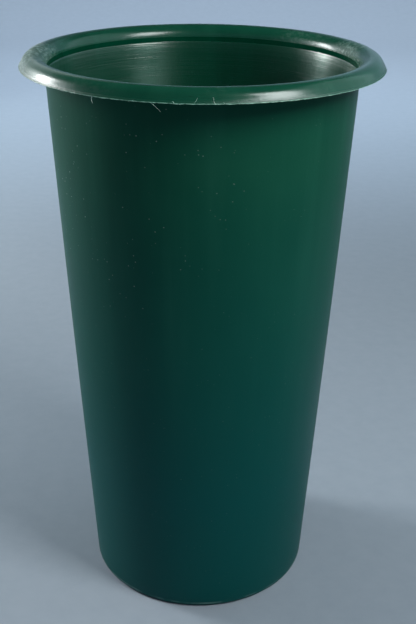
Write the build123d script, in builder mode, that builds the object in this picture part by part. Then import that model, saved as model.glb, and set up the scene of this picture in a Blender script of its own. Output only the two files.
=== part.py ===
from build123d import *
import math
import os

# Florist bucket: one tall tapered plastic moulding with a rolled-over rim.
# The moulding is divided into its forming regions, which meet face to face:
#   rim_shoulder  inner half of the roll at the mouth, rising to the crest
#   rim_skirt     outer half of the roll, bent over and then straight down to the trimmed lip
#   neck_band     short plain band under the roll, with a small step at its foot
#   tapered_wall  long straight cone
#   heel          rounded corner at the foot of the wall
#   foot_ring     flat ring that the bucket stands on
#   floor_riser   leaning ring that lifts the middle of the floor
#   floor_panel   raised middle of the floor
# Millimetres, +Z up, origin at the centre of the resting plane.

# Driving dimensions
overall_height = 428.0
rim_radius = 130.0          # to the outside of the lip
roll_width = 19.2           # across the roll, from the mouth to the lip
roll_height = 8.6           # from the lip's edge up to the crest
skirt_slope = 62.0          # of the skirt's straight face, in degrees below level
wall_thickness = 2.0
wall_top_radius = 112.4     # outside of the cone where the neck band begins
base_radius = 89.2          # outside of the cone carried down to the resting plane
band_height = 3.6
heel_height = 14.0
heel_radius = 2.5
floor_thickness = 2.5
floor_lift = 4.0            # clearance under the raised middle of the floor
ring_outer_radius = 84.0    # where the foot ring meets the heel
ring_inner_radius = 79.0    # where the foot ring meets the riser
floor_panel_radius = 74.0
inner_corner_radius = 1.5   # inside the heel
quarter_turn = 90.0

# Levels and radii that follow from them
roll_base = overall_height - roll_height
wall_top = roll_base - band_height
mouth_radius = rim_radius - roll_width
roll_half = roll_width / 2
crest_radius = rim_radius - roll_half
slope_sin = math.sin(math.radians(skirt_slope))
slope_cos = math.cos(math.radians(skirt_slope))
bend_radius = (roll_half * slope_sin - roll_height * slope_cos) / (1 - slope_cos)
lip_width = wall_thickness / slope_sin
taper = (wall_top_radius - base_radius) / wall_top


def outside_radius(height):
    """Radius of the cone's outside at a height above the resting plane."""
    return base_radius + taper * height


def inside_radius(height):
    """Radius of the cone's inside at a height above the resting plane."""
    return outside_radius(height) - wall_thickness


os.makedirs("parts", exist_ok=True)

# Rim shoulder: rises from the neck band to the crest
with BuildPart() as rim_shoulder:
    with BuildSketch(Plane.XZ) as shoulder_section:
        with BuildLine() as shoulder_outline:
            roll_centre = (crest_radius, roll_base)
            outer_arch = EllipticalCenterArc(
                roll_centre, roll_half, roll_height, start_angle=quarter_turn, arc_size=quarter_turn
            )
            inner_arch = EllipticalCenterArc(
                roll_centre,
                roll_half - wall_thickness,
                roll_height - wall_thickness,
                start_angle=quarter_turn,
                arc_size=quarter_turn,
            )
            Line(outer_arch @ 0, inner_arch @ 0)
            Line(outer_arch @ 1, inner_arch @ 1)
        make_face()
    revolve(axis=Axis.Z)
rim_shoulder.part.label = "rim_shoulder"
export_step(rim_shoulder.part, "parts/rim_shoulder.step")

# Rim skirt: bends over from the crest, then falls straight to the trimmed lip
with BuildPart() as rim_skirt:
    with BuildSketch(Plane.XZ) as skirt_section:
        with BuildLine() as skirt_outline:
            bend_centre = (crest_radius, overall_height - bend_radius)
            outer_bend = CenterArc(bend_centre, bend_radius, quarter_turn, -skirt_slope)
            inner_bend = CenterArc(
                bend_centre, bend_radius - wall_thickness, quarter_turn, -skirt_slope
            )
            Line(outer_bend @ 0, inner_bend @ 0)
            outer_face = Line(outer_bend @ 1, (rim_radius, roll_base))
            inner_face = Line(inner_bend @ 1, (rim_radius - lip_width, roll_base))
            Line(outer_face @ 1, inner_face @ 1)
        make_face()
    revolve(axis=Axis.Z)
rim_skirt.part.label = "rim_skirt"
export_step(rim_skirt.part, "parts/rim_skirt.step")

# Neck band: upright inside, flaring slightly into the roll outside
with BuildPart() as neck_band:
    with BuildSketch(Plane.XZ) as band_section:
        with BuildLine() as band_outline:
            Polyline(
                (mouth_radius, wall_top),
                (outside_radius(wall_top), wall_top),
                (mouth_radius + wall_thickness, roll_base),
                (mouth_radius, roll_base),
                close=True,
            )
        make_face()
    revolve(axis=Axis.Z)
neck_band.part.label = "neck_band"
export_step(neck_band.part, "parts/neck_band.step")

# Tapered wall: its top face is wider than the band, which leaves the small inner step
with BuildPart() as tapered_wall:
    with BuildSketch(Plane.XZ) as wall_section:
        with BuildLine() as wall_outline:
            Polyline(
                (inside_radius(heel_height), heel_height),
                (outside_radius(heel_height), heel_height),
                (outside_radius(wall_top), wall_top),
                (inside_radius(wall_top), wall_top),
                close=True,
            )
        make_face()
    revolve(axis=Axis.Z)
tapered_wall.part.label = "tapered_wall"
export_step(tapered_wall.part, "parts/tapered_wall.step")

# Heel: the wall turns under it, with a rounded corner outside and inside
with BuildPart() as heel:
    with BuildSketch(Plane.XZ) as heel_section:
        with BuildLine() as heel_outline:
            FilletPolyline(
                (inside_radius(heel_height), heel_height),
                (inside_radius(floor_thickness), floor_thickness),
                (ring_outer_radius, floor_thickness),
                (ring_outer_radius, 0),
                (base_radius, 0),
                (outside_radius(heel_height), heel_height),
                radius=[0, inner_corner_radius, 0, 0, heel_radius, 0],
                close=True,
            )
        make_face()
    revolve(axis=Axis.Z)
heel.part.label = "heel"
export_step(heel.part, "parts/heel.step")

# Foot ring: flat above and below, the face that the bucket stands on
with BuildPart() as foot_ring:
    with BuildSketch() as ring_outline:
        Circle(ring_outer_radius)
        Circle(ring_inner_radius, mode=Mode.SUBTRACT)
    extrude(amount=floor_thickness)
foot_ring.part.label = "foot_ring"
export_step(foot_ring.part, "parts/foot_ring.step")

# Floor riser: leans inwards from the foot ring up to the raised floor
with BuildPart() as floor_riser:
    with BuildSketch(Plane.XZ) as riser_section:
        with BuildLine() as riser_outline:
            Polyline(
                (ring_inner_radius, 0),
                (ring_inner_radius, floor_thickness),
                (floor_panel_radius, floor_lift + floor_thickness),
                (floor_panel_radius, floor_lift),
                close=True,
            )
        make_face()
    revolve(axis=Axis.Z)
floor_riser.part.label = "floor_riser"
export_step(floor_riser.part, "parts/floor_riser.step")

# Floor panel: the raised middle of the floor
with BuildPart() as floor_panel:
    with BuildSketch(Plane.XY.offset(floor_lift)) as panel_outline:
        Circle(floor_panel_radius)
    extrude(amount=floor_thickness)
floor_panel.part.label = "floor_panel"
export_step(floor_panel.part, "parts/floor_panel.step")
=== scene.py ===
import bpy
import bmesh
import math
from mathutils import Matrix, Vector, noise


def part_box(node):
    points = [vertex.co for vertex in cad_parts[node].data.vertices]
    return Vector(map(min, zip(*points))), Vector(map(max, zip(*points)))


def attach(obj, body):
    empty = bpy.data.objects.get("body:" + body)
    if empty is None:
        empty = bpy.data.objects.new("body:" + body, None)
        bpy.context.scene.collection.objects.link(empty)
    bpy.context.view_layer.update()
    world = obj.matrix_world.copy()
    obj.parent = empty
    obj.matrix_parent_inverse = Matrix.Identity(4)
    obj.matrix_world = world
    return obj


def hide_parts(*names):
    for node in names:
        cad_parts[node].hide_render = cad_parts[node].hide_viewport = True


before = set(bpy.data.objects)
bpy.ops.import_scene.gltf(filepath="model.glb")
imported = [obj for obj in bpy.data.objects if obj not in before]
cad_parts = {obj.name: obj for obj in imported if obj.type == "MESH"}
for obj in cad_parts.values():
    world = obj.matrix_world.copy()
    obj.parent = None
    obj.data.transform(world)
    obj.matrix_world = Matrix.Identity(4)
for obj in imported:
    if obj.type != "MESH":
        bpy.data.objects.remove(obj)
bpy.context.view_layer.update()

MM = 0.001
SHARP_ANGLE = math.radians(35)       # faces that meet at more than this keep a hard edge

# ---------------------------------------------------------------- sizes, read from the frame

rim_low, rim_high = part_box("rim_skirt")
band_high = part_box("neck_band")[1]
wall_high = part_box("tapered_wall")[1]
heel_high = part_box("heel")[1]
riser_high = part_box("floor_riser")[1]
panel_low, panel_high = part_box("floor_panel")

WALL = 2.0 * MM                      # thickness of the moulding
RIM_R = rim_high.x                   # outside of the lip
CREST_Z = rim_high.z
ROLL_Z = rim_low.z                   # level of the lip's edge
ROLL_H = CREST_Z - ROLL_Z
FLARE_R = band_high.x                # outside of the band where it meets the roll
MOUTH_R = FLARE_R - WALL
ROLL_A = (RIM_R - MOUTH_R) / 2       # half the roll's width
ROLL_R = (RIM_R + MOUTH_R) / 2       # radius of the roll's crest
SKIRT_SLOPE = 62.0                   # of the skirt's straight face, in degrees below level
SLOPE_SIN = math.sin(math.radians(SKIRT_SLOPE))
SLOPE_COS = math.cos(math.radians(SKIRT_SLOPE))
BEND_R = (ROLL_A * SLOPE_SIN - ROLL_H * SLOPE_COS) / (1 - SLOPE_COS)
LIP_W = WALL / SLOPE_SIN             # width of the trimmed edge
WALL_TOP_Z = wall_high.z
WALL_TOP_R = wall_high.x
HEEL_Z = heel_high.z
HEEL_R = heel_high.x
TAPER = (WALL_TOP_R - HEEL_R) / (WALL_TOP_Z - HEEL_Z)
RISER_R = riser_high.x
PANEL_R = panel_high.x
FLOOR_LOW = panel_low.z
FLOOR_TOP = panel_high.z
FLOOR_T = FLOOR_TOP - FLOOR_LOW


def cone(z):
    """Radius of the wall's outside at height z."""
    return HEEL_R + TAPER * (z - HEEL_Z)


# ---------------------------------------------------------------- camera

EYE_BACK = 711.4 * MM
EYE_HEIGHT = 552.2 * MM
LOOK_DOWN = math.radians(24.83)
LOOK_RIGHT = math.radians(0.45)
LEAN = math.radians(0.63)
SENSOR_WIDTH = 36.0                  # of the camera, in mm, as its focal length is
FOCAL_LENGTH = 56.45
NEAR_CLIP = 10 * MM

camera_data = bpy.data.cameras.new("camera")
camera_data.sensor_width = SENSOR_WIDTH
camera_data.lens = FOCAL_LENGTH
camera_data.clip_start = NEAR_CLIP
camera = bpy.data.objects.new("camera", camera_data)
turn = (
    Matrix.Rotation(-LOOK_RIGHT, 4, "Z")
    @ Matrix.Rotation(math.pi / 2 - LOOK_DOWN, 4, "X")
    @ Matrix.Rotation(LEAN, 4, "Z")
)
camera.matrix_world = Matrix.Translation((0, -EYE_BACK, EYE_HEIGHT)) @ turn
bpy.context.scene.collection.objects.link(camera)
bpy.context.scene.camera = camera
bpy.context.scene.view_settings.view_transform = "Standard"

# ---------------------------------------------------------------- studio

RIM_AIM = Vector((0, 0, CREST_Z))
BACKDROP_AIM = Vector((0, 2.6, 0))


def soft_light(name, azimuth, elevation, distance, size, power, colour, aim=RIM_AIM, spread=180):
    """A rectangular softbox seen from aim at azimuth, counted from the front, -Y, towards +X.

    Angles are in degrees, distance and size in metres, and power in watts.
    """
    data = bpy.data.lights.new(name, "AREA")
    data.shape = "RECTANGLE"
    data.size = size[0]
    data.size_y = size[1]
    data.energy = power
    data.color = colour
    data.spread = math.radians(spread)
    lamp = bpy.data.objects.new(name, data)
    a = math.radians(azimuth)
    e = math.radians(elevation)
    way = Vector((math.sin(a) * math.cos(e), -math.cos(a) * math.cos(e), math.sin(e)))
    lamp.location = aim + way * distance
    lamp.rotation_euler = way.to_track_quat("Z", "Y").to_euler()
    lamp.visible_camera = False
    bpy.context.scene.collection.objects.link(lamp)


soft_light("light_right", 51, 37, 1.10, (0.40, 0.52), 10.0, (1.0, 0.99, 0.96))
soft_light("light_right_wide", 92, 30, 1.60, (2.4, 1.6), 8.0, (0.78, 0.96, 1.0))
soft_light("light_left", -112, 13, 1.40, (0.31, 0.56), 13.3, (1.0, 0.99, 0.97))
soft_light("light_left_soft", -111, 15, 1.40, (1.15, 0.6), 4.0, (0.90, 1.0, 1.0))
soft_light("light_left_wide", -132, 12, 1.50, (2.0, 1.2), 4.5, (0.90, 1.0, 0.98))
soft_light("light_back_right", 146, 18, 1.90, (1.8, 1.2), 1.5, (0.55, 0.85, 1.0))
soft_light(
    "light_backdrop", 0, 52, 2.28, (2.6, 0.8), 30.0, (0.80, 0.90, 1.0), BACKDROP_AIM, spread=110
)

world = bpy.data.worlds.new("studio")
world.use_nodes = True
bpy.context.scene.world = world
room_light = world.node_tree.nodes["Background"]
room_light.inputs["Color"].default_value = (0.80, 0.88, 1.0, 1)
room_light.inputs["Strength"].default_value = 0.035

# ---------------------------------------------------------------- outlines and meshes


def arc(centre, radii, start, end, steps):
    """Points of an elliptical arc in section, angles in degrees from +r towards +z."""
    points = []
    for i in range(steps + 1):
        a = math.radians(start + (end - start) * i / steps)
        points.append((centre[0] + radii[0] * math.cos(a), centre[1] + radii[1] * math.sin(a)))
    return points


def straight(start, end, steps):
    """Points from start up to, but not with, end."""
    points = []
    for i in range(steps):
        t = i / steps
        points.append((start[0] + (end[0] - start[0]) * t, start[1] + (end[1] - start[1]) * t))
    return points


def rounded(points, radii, steps=6):
    """A closed outline through points, each corner rounded to its radius."""
    result = []
    count = len(points)
    for i in range(count):
        here = Vector(points[i])
        before = Vector(points[i - 1])
        after = Vector(points[(i + 1) % count])
        if not radii[i]:
            result.append(tuple(here))
            continue
        back = (before - here).normalized()
        on = (after - here).normalized()
        half = back.angle(on) / 2
        reach = radii[i] / math.tan(half)
        centre = here + (back + on).normalized() * radii[i] / math.sin(half)
        first = here + back * reach - centre
        last = here + on * reach - centre
        sweep = first.angle_signed(last)
        for k in range(steps + 1):
            a = -sweep * k / steps
            spoke = Vector((
                first.x * math.cos(a) - first.y * math.sin(a),
                first.x * math.sin(a) + first.y * math.cos(a),
            ))
            result.append(tuple(centre + spoke))
    return result


def ring(build, segments, place):
    """A ring of new points; place(angle) gives each one."""
    return [build.verts.new(place(2 * math.pi * k / segments)) for k in range(segments)]


def bridge(build, low, high, material=0):
    """Smooth faces between two rings."""
    count = len(low)
    for k in range(count):
        m = (k + 1) % count
        face = build.faces.new((low[k], low[m], high[m], high[k]))
        face.material_index = material
        face.smooth = True


def finished_mesh(build, name):
    """Turns a bmesh into a mesh with its faces outwards."""
    bmesh.ops.recalc_face_normals(build, faces=build.faces)
    mesh = bpy.data.meshes.new(name)
    build.to_mesh(mesh)
    build.free()
    return mesh


OVAL = 0.0022                        # share of the radius, at the crest
OVAL_TURN = 0.6                      # direction of the oval's long axis from +X, in radians
BELLY = 0.5 * MM                     # how far the wall bows out at mid-height
BELLY_FROM = 8 * MM                  # beyond the floor panel, where the bow applies
MOUTH_LIFT = 1.05 * MM               # of the far side of the mouth


def turned(r, z, angle):
    """A point of the moulding, slightly oval and bowed, with the far side of its mouth higher."""
    oval = 1 + OVAL * (z / CREST_Z) * math.cos(2 * (angle - OVAL_TURN))
    belly = BELLY * math.sin(math.pi * min(1, max(0, z / WALL_TOP_Z)))
    reach = r * oval + (belly if r > PANEL_R + BELLY_FROM else 0)
    lift = MOUTH_LIFT * (0.5 + 0.5 * math.sin(angle)) * (z / CREST_Z) ** 6
    return Vector((reach * math.cos(angle), reach * math.sin(angle), z + lift))


def lathe(name, outline, segments, shape=turned, material_of=lambda i: 0):
    """A closed ring turned from a closed outline.

    shape(r, z, angle) gives a point's final place, and material_of(i) the material's number on
    the faces from the outline's point i to the next.
    """
    build = bmesh.new()
    rings = [ring(build, segments, lambda angle: shape(r, z, angle)) for r, z in outline]
    for i, low in enumerate(rings):
        bridge(build, low, rings[(i + 1) % len(rings)], material_of(i))
    return finished_mesh(build, name)


def piece(name, mesh, materials, nodes):
    """Puts a finished mesh in the scene in the place of its CAD nodes."""
    for material in materials:
        mesh.materials.append(material)
    mesh.set_sharp_from_angle(angle=SHARP_ANGLE)
    thing = bpy.data.objects.new(name, mesh)
    bpy.context.scene.collection.objects.link(thing)
    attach(thing, "root")
    if nodes:
        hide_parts(*nodes)


# ---------------------------------------------------------------- materials


class Graph:
    """Short names for building a material's nodes."""

    def __init__(self, name):
        self.material = bpy.data.materials.new(name)
        self.material.use_nodes = True
        self.tree = self.material.node_tree
        self.shader = self.tree.nodes["Principled BSDF"]
        self.place = self.add("ShaderNodeTexCoord").outputs["Object"]

    def add(self, kind, **settings):
        node = self.tree.nodes.new(kind)
        for key, value in settings.items():
            setattr(node, key, value)
        return node

    def link(self, source, target):
        self.tree.links.new(source, target)

    def set(self, **values):
        """Sets the shader's own sockets; an underscore in a name stands for a space."""
        for name, value in values.items():
            self.shader.inputs[name.replace("_", " ")].default_value = value

    def stretched(self, scale):
        """The place on the surface, with its axes scaled."""
        node = self.add("ShaderNodeMapping")
        node.inputs["Scale"].default_value = scale
        self.link(self.place, node.inputs["Vector"])
        return node.outputs["Vector"]

    def noise(self, vector, scale, detail=3.0, roughness=0.5):
        """A noise texture; its scale is in waves per metre."""
        node = self.add("ShaderNodeTexNoise")
        node.inputs["Scale"].default_value = scale
        node.inputs["Detail"].default_value = detail
        node.inputs["Roughness"].default_value = roughness
        self.link(vector, node.inputs["Vector"])
        return node.outputs["Fac"]

    def ramp(self, value, low, high, to_low=0.0, to_high=1.0):
        """A clamped straight ramp: to_low where value is low, and to_high where it is high."""
        node = self.add("ShaderNodeMapRange")
        node.inputs["From Min"].default_value = low
        node.inputs["From Max"].default_value = high
        node.inputs["To Min"].default_value = to_low
        node.inputs["To Max"].default_value = to_high
        self.link(value, node.inputs["Value"])
        return node.outputs["Result"]

    def math(self, operation, a, b):
        node = self.add("ShaderNodeMath", operation=operation)
        for socket, value in zip(node.inputs, (a, b)):
            if isinstance(value, (int, float)):
                socket.default_value = value
            else:
                self.link(value, socket)
        return node.outputs["Value"]

    def mix(self, factor, a, b):
        node = self.add("ShaderNodeMix", data_type="RGBA")
        self.link(factor, node.inputs["Factor"])
        for socket, value in ((node.inputs[6], a), (node.inputs[7], b)):
            if isinstance(value, tuple):
                socket.default_value = (*value, 1)
            else:
                self.link(value, socket)
        return node.outputs[2]

    def height(self):
        """The surface's height above the table."""
        split = self.add("ShaderNodeSeparateXYZ")
        self.link(self.place, split.inputs["Vector"])
        return split.outputs["Z"]

    def distance(self, point):
        """How far the surface is from a point."""
        node = self.add("ShaderNodeVectorMath", operation="DISTANCE")
        self.link(self.place, node.inputs[0])
        node.inputs[1].default_value = point
        return node.outputs["Value"]

    def bump(self, height, distance, strength=1.0, normal=None):
        """A bump of a height from 0 to 1, distance deep, on top of an earlier normal."""
        node = self.add("ShaderNodeBump")
        node.inputs["Strength"].default_value = strength
        node.inputs["Distance"].default_value = distance
        self.link(height, node.inputs["Height"])
        if normal is not None:
            self.link(normal, node.inputs["Normal"])
        return node.outputs["Normal"]

    def specks(self, scale, size, share):
        """Small round specks: a share of the cells of a Voronoi pattern holds one."""
        cells = self.add("ShaderNodeTexVoronoi")
        cells.inputs["Scale"].default_value = scale
        self.link(self.place, cells.inputs["Vector"])
        split = self.add("ShaderNodeSeparateColor")
        self.link(cells.outputs["Color"], split.inputs["Color"])
        dot = self.ramp(cells.outputs["Distance"], size, size * 0.4)
        chosen = self.math("LESS_THAN", split.outputs["Red"], share)
        return self.math("MULTIPLY", dot, chosen)


OUTER_GREENS = ((0.0030, 0.062, 0.036), (0.0062, 0.078, 0.045), (0.0125, 0.098, 0.060))
# Darker copies of the outside greens, used for the inside: painted shade
INNER_GREENS_SHADED = ((0.0004, 0.040, 0.020), (0.0008, 0.054, 0.028), (0.0016, 0.068, 0.038))
# Teal that the outside wall turns towards the foot: painted reflection of a blue floor
FLOOR_REFLECTION_TEAL = (0.0010, 0.072, 0.066)
# Pale scuffs on the rim, and also the painted highlight line along the heel
SCUFF_AND_HIGHLIGHT = (0.26, 0.38, 0.34)
DUST = (0.36, 0.42, 0.38)
# Dark tone under the heel's rounding: painted shade
HEEL_SHADE = (0.0015, 0.010, 0.014)
TORN = (0.34, 0.66, 0.52)
THREADS = ((0.42, 0.72, 0.60), (0.62, 0.86, 0.76))
FLOOR_PAPER = ((0.31, 0.37, 0.44), (0.33, 0.39, 0.46))
FLOOR_GLOW = (0.72, 0.85, 1.0)

# Scales of a noise's axes; a low one draws the noise out along its axis
FLOW = (1, 1, 0.06)                  # upright
STRIPS = (1, 1, 0.05)
RINGS = (0.03, 0.03, 1)              # round the bucket
FINE_RINGS = (0.01, 0.01, 1)
SQUAT = (1, 1, 2.2)


def round_rim(azimuth, radius, z):
    """A point on the rim; azimuth in degrees from the front, -Y, towards +X."""
    a = math.radians(azimuth)
    return Vector((radius * math.sin(a), -radius * math.cos(a), z))


DUSTY_SIDE = round_rim(-42, WALL_TOP_R, 0.86 * WALL_TOP_Z)
SCUFFED_END = round_rim(-86, RIM_R - 2 * MM, CREST_Z)
SCUFFED_INNER = round_rim(106, MOUTH_R, CREST_Z - 3 * MM)

# Heights, or distances from the places above, over which each thing fades in: (none, full)
# The first range sets where the painted floor reflection fades in towards the foot
FLOOR_REFLECTION_FADE = (WALL_TOP_Z * 0.90, WALL_TOP_Z * 0.25)
DUST_FADE = (120 * MM, 40 * MM)
# The heel's painted highlight line, and the painted shade below it
HEEL_HIGHLIGHT_TOP_FADE = (4.6 * MM, 3.9 * MM)
HEEL_HIGHLIGHT_FOOT_FADE = (2.6 * MM, 3.2 * MM)
HEEL_SHADE_FADE = (2.6 * MM, 1.6 * MM)
END_FADE = (44 * MM, 14 * MM)
INNER_FADE = (22 * MM, 6 * MM)
ROUGH_LIP_FADE = (ROLL_Z + 3.0 * MM, ROLL_Z + 0.4 * MM)
TORN_FADE = (ROLL_Z + 0.55 * MM, ROLL_Z + 0.15 * MM)
BACKDROP_FADE = (1.4, 2.8)


def moulded_plastic(name, greens, roughness, specular, tint=(1, 1, 1), ring_depth=0.0):
    """Dark green polyolefin with cloudy pigment, a faint grain and rings of ring_depth.

    Returns its graph, colour, roughness and normal, which finished() joins to the shader.
    """
    g = Graph(name)
    g.set(Specular_IOR_Level=specular, Specular_Tint=(*tint, 1))
    deep, middle, light = greens
    cloud = g.noise(g.place, 9, 4, 0.55)
    flow = g.noise(g.stretched(FLOW), 42, 3, 0.6)
    colour = g.mix(g.ramp(cloud, 0.35, 0.68), deep, middle)
    colour = g.mix(g.ramp(flow, 0.48, 0.75, to_high=0.6), colour, light)
    rough = g.ramp(cloud, 0.3, 0.7, roughness - 0.04, roughness + 0.05)
    grain = g.noise(g.place, 650, 2, 0.5)
    normal = g.bump(grain, 0.07 * MM, strength=0.7)
    if ring_depth:
        rings = g.noise(g.stretched(RINGS), 700, 2, 0.7)
        normal = g.bump(rings, ring_depth, normal=normal)
    return g, colour, rough, normal


def finished(g, colour, rough, normal):
    """Joins the parts of a plastic to its shader."""
    g.link(colour, g.shader.inputs["Base Color"])
    g.link(rough, g.shader.inputs["Roughness"])
    g.link(normal, g.shader.inputs["Normal"])
    return g.material


def outside_plastic():
    """The wall outside: a painted floor reflection makes it bluer towards the foot; dusty; at the
    heel a painted pale highlight line, with painted shade below it.
    """
    g, colour, rough, normal = moulded_plastic(
        "plastic_outside", OUTER_GREENS,
        # The bluish specular tint is a painted blue cast on the wall's reflections
        roughness=0.42, specular=0.13, tint=(0.65, 0.90, 1.0), ring_depth=0.05 * MM,
    )
    # Painted reflection of a blue floor: the wall turns bluer towards the foot
    low = g.ramp(g.height(), *FLOOR_REFLECTION_FADE)
    colour = g.mix(low, colour, FLOOR_REFLECTION_TEAL)

    # Dust motes in clumps, thickest round one place
    dusty = g.ramp(g.distance(DUSTY_SIDE), *DUST_FADE, to_low=0.15)
    clumps = g.ramp(g.noise(g.place, 38, 3, 0.6), 0.46, 0.58)
    specks = g.specks(scale=260, size=0.13, share=0.55)
    motes = g.math("MULTIPLY", specks, g.math("MULTIPLY", clumps, dusty))
    colour = g.mix(motes, colour, DUST)

    # A broken pale line along the heel's rounding: painted highlight; and painted shade below it
    highlight_top = g.ramp(g.height(), *HEEL_HIGHLIGHT_TOP_FADE)
    highlight_bottom = g.ramp(g.height(), *HEEL_HIGHLIGHT_FOOT_FADE)
    broken = g.ramp(g.noise(g.place, 45, 3, 0.65), 0.42, 0.62, 0.02, 0.40)
    heel_highlight = g.math("MULTIPLY", g.math("MULTIPLY", highlight_top, highlight_bottom), broken)
    colour = g.mix(heel_highlight, colour, SCUFF_AND_HIGHLIGHT)
    # Painted shade under the heel's rounding
    heel_shade = g.ramp(g.height(), *HEEL_SHADE_FADE, to_high=0.85)
    colour = g.mix(heel_shade, colour, HEEL_SHADE)
    return finished(g, colour, rough, normal)


def inside_plastic():
    """The wall inside, in greens darkened as painted shade, with fine rings left by the mould,
    which spread each highlight upright.
    """
    g, colour, rough, normal = moulded_plastic(
        "plastic_inside", INNER_GREENS_SHADED,
        roughness=0.42, specular=0.50, tint=(0.60, 1.0, 0.92), ring_depth=0.04 * MM,
    )
    # Uneven gloss, in rings and in upright strips
    bands = g.noise(g.stretched(RINGS), 260, 3, 0.6)
    strips = g.noise(g.stretched(STRIPS), 330, 3, 0.6)
    rough = g.math("ADD", rough, g.ramp(bands, 0.35, 0.65, -0.09, 0.09))
    rough = g.math("ADD", rough, g.ramp(strips, 0.35, 0.65, -0.06, 0.06))

    # A glossy coat with fine rings, over a lobe drawn out upright
    lines = g.noise(g.stretched(FINE_RINGS), 1500, 1, 0.5)
    g.link(g.bump(lines, 0.27 * MM), g.shader.inputs["Coat Normal"])
    g.set(Coat_Weight=0.95, Coat_Roughness=0.25, Anisotropic=0.95, Anisotropic_Rotation=0.25)
    around = g.add("ShaderNodeTangent", direction_type="RADIAL", axis="Z")
    g.link(around.outputs["Tangent"], g.shader.inputs["Tangent"])
    return finished(g, colour, rough, normal)


def band_plastic():
    """The smooth band under the roll, inside, in the inside greens darkened as painted shade."""
    parts = moulded_plastic("plastic_band", INNER_GREENS_SHADED, roughness=0.18, specular=0.15)
    return finished(*parts)


def rim_plastic():
    """The roll: glossier, rubbed here and there, torn pale along the trimmed lip."""
    g, colour, rough, normal = moulded_plastic(
        "plastic_rim", OUTER_GREENS,
        roughness=0.21, specular=0.5, tint=(0.9, 0.97, 1.0), ring_depth=0.02 * MM,
    )
    height = g.height()
    fine = g.noise(g.place, 650, 4, 0.7)
    rub = g.noise(g.stretched(SQUAT), 260, 5, 0.7)

    # Pale rubs: faint patches anywhere, and strong ones round two places
    patches = g.ramp(g.noise(g.place, 17, 3, 0.6), 0.54, 0.70, to_high=0.10)
    worn_end = g.ramp(g.distance(SCUFFED_END), *END_FADE, to_high=0.85)
    worn_inner = g.ramp(g.distance(SCUFFED_INNER), *INNER_FADE, to_high=0.6)
    worn = g.math("MAXIMUM", patches, g.math("MAXIMUM", worn_end, worn_inner))
    mark = g.math("MULTIPLY", g.ramp(rub, 0.47, 0.60), worn)
    colour = g.mix(mark, colour, SCUFF_AND_HIGHLIGHT)
    rough = g.math("ADD", rough, g.math("MULTIPLY", worn, 0.22))

    # The lip is rougher, and torn pale at its very edge
    near_lip = g.ramp(height, *ROUGH_LIP_FADE)
    rough = g.math("ADD", rough, g.math("MULTIPLY", near_lip, 0.10))
    normal = g.bump(g.math("MULTIPLY", fine, near_lip), 0.25 * MM, normal=normal)
    normal = g.bump(g.math("MULTIPLY", rub, worn), 0.7 * MM, normal=normal)
    torn = g.ramp(height, *TORN_FADE)
    broken = g.ramp(g.noise(g.place, 420, 3, 0.7), 0.36, 0.60, to_low=0.25)
    colour = g.mix(g.math("MULTIPLY", torn, broken), colour, TORN)
    return finished(g, colour, rough, normal)


def thread_plastic():
    """Thin stretched threads of the same plastic, paler than the body."""
    g = Graph("plastic_threads")
    tone = g.noise(g.place, 500, 2, 0.5)
    colour = g.mix(g.ramp(tone, 0.35, 0.65), *THREADS)
    g.link(colour, g.shader.inputs["Base Color"])
    g.set(Roughness=0.4)
    return g.material


def floor_paper():
    """Pale matt paper, which glows faintly far out, so that the backdrop is even on every side."""
    g = Graph("floor_paper")
    grain = g.noise(g.place, 60, 4, 0.6)
    colour = g.mix(g.ramp(grain, 0.3, 0.7), *FLOOR_PAPER)
    g.link(colour, g.shader.inputs["Base Color"])
    g.set(Roughness=0.85, Specular_IOR_Level=0.2, Emission_Color=(*FLOOR_GLOW, 1))
    glow = g.ramp(g.distance(Vector((0, 0, 0))), *BACKDROP_FADE, to_high=0.07)
    g.link(glow, g.shader.inputs["Emission Strength"])
    return g.material


PLASTIC_OUTSIDE = outside_plastic()
PLASTIC_INSIDE = inside_plastic()
PLASTIC_BAND = band_plastic()
PLASTIC_RIM = rim_plastic()
PLASTIC_THREADS = thread_plastic()

# ---------------------------------------------------------------- the moulding, region by region

SEGMENTS = 384
RIM_SEGMENTS = 1024


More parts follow.
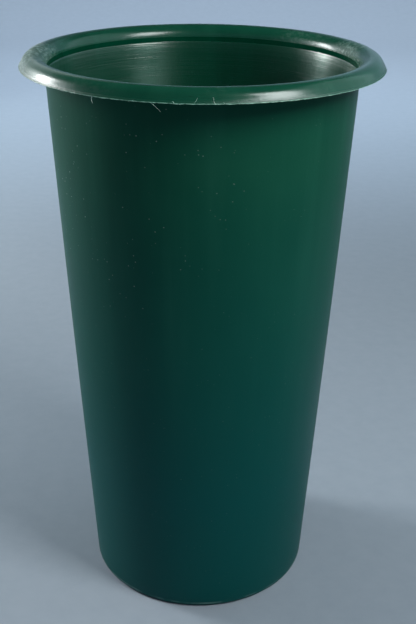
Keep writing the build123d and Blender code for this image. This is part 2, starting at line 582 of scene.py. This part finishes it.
def rolled_rim():
    """The roll: an arch with a straight leaning skirt, hollow underneath, roughly trimmed."""
    edge = 0.22 * MM                 # rounding of the lip's two edges
    ragged_height = 1.3 * MM         # how far up from its edge the lip is ragged
    burr_width = 0.6 * MM            # how far in from its outside the lip has a burr
    coarse, fine, burred = 55, 190, 230     # scales of the noise round the lip
    face_end = 90 - SKIRT_SLOPE
    arch = (ROLL_R, ROLL_Z)
    bend = (ROLL_R, CREST_Z - BEND_R)
    lip_out = (RIM_R, ROLL_Z)
    lip_in = (RIM_R - LIP_W, ROLL_Z)
    over = arc(arch, (ROLL_A, ROLL_H), 180, 90, steps=22)[:-1]
    over += arc(bend, (BEND_R, BEND_R), 90, face_end, steps=18)
    face = straight(over[-1], lip_out, steps=10)[1:]
    under_bend = arc(bend, (BEND_R - WALL, BEND_R - WALL), face_end, 90, steps=12)
    back = straight(lip_in, under_bend[0], steps=6)[1:]
    under_arch = arc(arch, (ROLL_A - WALL, ROLL_H - WALL), 90, 180, steps=14)[1:]
    points = over + face + [lip_out, lip_in] + back + under_bend + under_arch
    radii = [edge if point in (lip_out, lip_in) else 0 for point in points]

    def shape(r, z, angle):
        point = turned(r, z, angle)
        on_skirt = 1 if r > RIM_R - 2 * WALL else 0
        low = max(0.0, 1 - (z - ROLL_Z) / ragged_height) * on_skirt
        around = Vector((math.cos(angle), math.sin(angle), 0))
        ragged = noise.noise(around * coarse) * 0.22 + noise.noise(around * fine) * 0.20
        point.z -= low * (0.10 + ragged) * MM
        if r > RIM_R - burr_width:
            burr = 0.22 + 0.40 * abs(noise.noise(around * burred))
            point += around * low * low * burr * MM
        return point

    mesh = lathe("rolled_rim_mesh", rounded(points, radii), RIM_SEGMENTS, shape)
    piece("rim_roll", mesh, [PLASTIC_RIM], ["rim_shoulder", "rim_skirt"])


def neck_band():
    """The plain band under the roll; outside it flares into the roll."""
    foot = WALL_TOP_Z
    inner = straight((MOUTH_R, ROLL_Z), (MOUTH_R, foot), steps=4)
    bottom = straight((MOUTH_R, foot), (WALL_TOP_R, foot), steps=1)
    flare_steps = 8
    outer = []
    for i in range(flare_steps + 1):
        t = i / flare_steps
        outer.append((WALL_TOP_R + (FLARE_R - WALL_TOP_R) * t * t, foot + (ROLL_Z - foot) * t))
    mesh = lathe(
        "neck_band_mesh", inner + bottom + outer, SEGMENTS,
        material_of=lambda i: 0 if i < len(inner) else 1,
    )
    piece("band_under_roll", mesh, [PLASTIC_BAND, PLASTIC_OUTSIDE], ["neck_band"])


def tapered_wall():
    """The long cone, with the small rounded step at the top of its inside."""
    steps = 48
    ease = 1.2 * MM                  # height over which the step rounds into the wall
    nose_in = 0.12 * MM              # how far the step's nose stands in from the band
    nose_drop = 0.2 * MM
    outer = straight((HEEL_R, HEEL_Z), (WALL_TOP_R, WALL_TOP_Z), steps)
    top = [(WALL_TOP_R, WALL_TOP_Z)]
    corner = [(MOUTH_R, WALL_TOP_Z), (MOUTH_R - nose_in, WALL_TOP_Z - nose_drop)]
    below_step = (cone(WALL_TOP_Z - ease) - WALL, WALL_TOP_Z - ease)
    foot = (HEEL_R - WALL, HEEL_Z)
    outline = outer + top + corner + straight(below_step, foot, steps) + [foot]
    inside = range(len(outer + top), len(outline) - 1)
    mesh = lathe(
        "tapered_wall_mesh", outline, SEGMENTS, material_of=lambda i: 1 if i in inside else 0
    )
    piece("wall_cone", mesh, [PLASTIC_OUTSIDE, PLASTIC_INSIDE], ["tapered_wall"])


def heel_and_foot():
    """The rounded heel, the ring it stands on, and the riser up to the raised floor."""
    shelf = 1.5 * MM                 # level width at the riser's top
    bend = 1.0 * MM                  # rounding of the riser's bends
    flat = 5 * MM                    # width of the flat ring that touches the table
    heel_rise = 0.7 * MM             # how far the heel's corner point stands off the table
    inner_corner = 1.5 * MM
    heel_radius = 2.5 * MM
    outline = [
        # (r, z), rounding radius
        ((HEEL_R, HEEL_Z), 0),
        ((HEEL_R - WALL, HEEL_Z), 0),
        ((cone(FLOOR_T) - WALL, FLOOR_T), inner_corner),
        ((RISER_R, FLOOR_T), bend),
        ((PANEL_R + shelf, FLOOR_TOP), bend),
        ((PANEL_R, FLOOR_TOP), 0),
        ((PANEL_R, FLOOR_LOW), 0),
        ((PANEL_R + shelf, FLOOR_LOW), bend),
        ((RISER_R, 0), bend),
        ((RISER_R + flat, 0), bend),
        ((cone(0), heel_rise), heel_radius),
    ]
    mesh = lathe("heel_and_foot_mesh", rounded(*zip(*outline)), SEGMENTS)
    piece("heel_and_foot", mesh, [PLASTIC_OUTSIDE], ["heel", "foot_ring", "floor_riser"])


def floor_panel():
    """The raised middle of the floor, with a low moulding point under its centre."""
    nib_r = 3.0 * MM                 # radius and height of the moulding point
    nib_h = 0.8 * MM
    hub = 0.4 * MM                   # radius of the small faces that close the middle
    steps = 20
    top = straight((PANEL_R, FLOOR_TOP), (hub, FLOOR_TOP), steps) + [(hub, FLOOR_TOP)]
    under = [(hub, FLOOR_LOW - nib_h), (nib_r - hub, FLOOR_LOW - nib_h), (nib_r, FLOOR_LOW)]
    under += straight((nib_r + hub, FLOOR_LOW), (PANEL_R, FLOOR_LOW), steps)
    under += [(PANEL_R, FLOOR_LOW)]
    build = bmesh.new()
    rings = [ring(build, SEGMENTS, lambda angle: turned(r, z, angle)) for r, z in top + under]
    last_of_top = len(top) - 1
    for i, low in enumerate(rings):
        if i != last_of_top:
            bridge(build, low, rings[(i + 1) % len(rings)])
    build.faces.new(rings[last_of_top])
    build.faces.new(list(reversed(rings[last_of_top + 1])))
    mesh = finished_mesh(build, "floor_panel_mesh")
    piece("floor_disc", mesh, [PLASTIC_INSIDE], ["floor_panel"])


def thread(build, points, thickness):
    """A thin closed tube along points, tapering to its far end."""
    sides = 6
    tip = 0.4                        # width of the far end, as a share of the near end's
    off_axis = Vector((0.3, 0.9, 0.2))
    rings = []
    last = len(points) - 1
    for i, point in enumerate(points):
        along = (points[min(i + 1, last)] - points[max(i - 1, 0)]).normalized()
        across = along.cross(off_axis).normalized()
        other = along.cross(across)
        radius = thickness / 2 * (1 - (1 - tip) * i / last)
        rings.append(ring(
            build, sides,
            lambda a: point + (across * math.cos(a) + other * math.sin(a)) * radius,
        ))
    for low, high in zip(rings, rings[1:]):
        bridge(build, low, high)
    build.faces.new(rings[0])
    build.faces.new(rings[-1])


def lip_threads():
    """Stray threads of plastic left on the trimmed lip."""
    strays = [
        # azimuth in degrees; run round the rim, rise, lean outwards, bow and thickness in mm
        (-31.6, 0.8, -4.2, 0.4, -0.7, 0.41),
        (-19.1, 0.9, 0.9, 0.7, 0.0, 0.45),
        (-20.2, 0.7, -0.7, 0.5, 0.0, 0.27),
        (-13.9, 6.4, -5.0, 1.2, 0.2, 0.24),
        (-7.5, -1.2, 1.6, 0.8, 0.2, 0.45),
        (-6.9, 2.6, -0.5, 0.7, 0.5, 0.31),
        (-2.4, 2.2, 3.6, -1.2, 0.4, 0.24),
        (3.4, -1.2, 4.0, -1.4, -0.4, 0.30),
        (5.8, -0.7, 1.2, -0.2, 0.2, 0.24),
        (-40.5, 1.2, 0.5, 0.6, 0.1, 0.27),
        (37.4, -1.3, 0.9, 0.6, 0.1, 0.31),
        (41.3, 1.1, 0.7, 0.6, 0.1, 0.31),
    ]
    steps = 7
    root_in = 0.25 * MM              # how deep in the lip each thread is rooted
    root_up = 0.1 * MM
    build = bmesh.new()
    for azimuth, run, rise, out, bow, thickness in strays:
        root = round_rim(azimuth, RIM_R - root_in, ROLL_Z + root_up)
        outward = Vector((root.x, root.y, 0)).normalized()
        around = Vector((-outward.y, outward.x, 0))
        points = []
        for i in range(steps + 1):
            t = i / steps
            bend = 4 * bow * t * (1 - t)
            step = around * (run * t + bend) + outward * out * t
            points.append(root + (step + Vector((0, 0, rise * t))) * MM)
        thread(build, points, thickness * MM)
    piece("lip_threads", finished_mesh(build, "lip_threads_mesh"), [PLASTIC_THREADS], [])


rolled_rim()
lip_threads()
neck_band()
tapered_wall()
heel_and_foot()
floor_panel()

# ---------------------------------------------------------------- floor


def stage_floor():
    """A pale floor that sweeps up far behind the object on every side."""
    flat = 2.6                       # radius of the level part, in metres
    sweep = 1.2                      # radius of the sweep up
    wall_top = 3.0
    segments = 96
    section = [(0.5, 0.0), (1.5, 0.0)]     # the middle is closed by one face
    section += arc((flat, sweep), (sweep, sweep), -90, 0, steps=16)
    section.append((flat + sweep, wall_top))
    build = bmesh.new()
    rings = [
        ring(build, segments, lambda angle: (r * math.cos(angle), r * math.sin(angle), z))
        for r, z in section
    ]
    for low, high in zip(rings, rings[1:]):
        bridge(build, low, high)
    build.faces.new(rings[0])
    mesh = finished_mesh(build, "stage_floor_mesh")
    mesh.materials.append(floor_paper())
    floor = bpy.data.objects.new("stage_floor", mesh)
    bpy.context.scene.collection.objects.link(floor)


stage_floor()
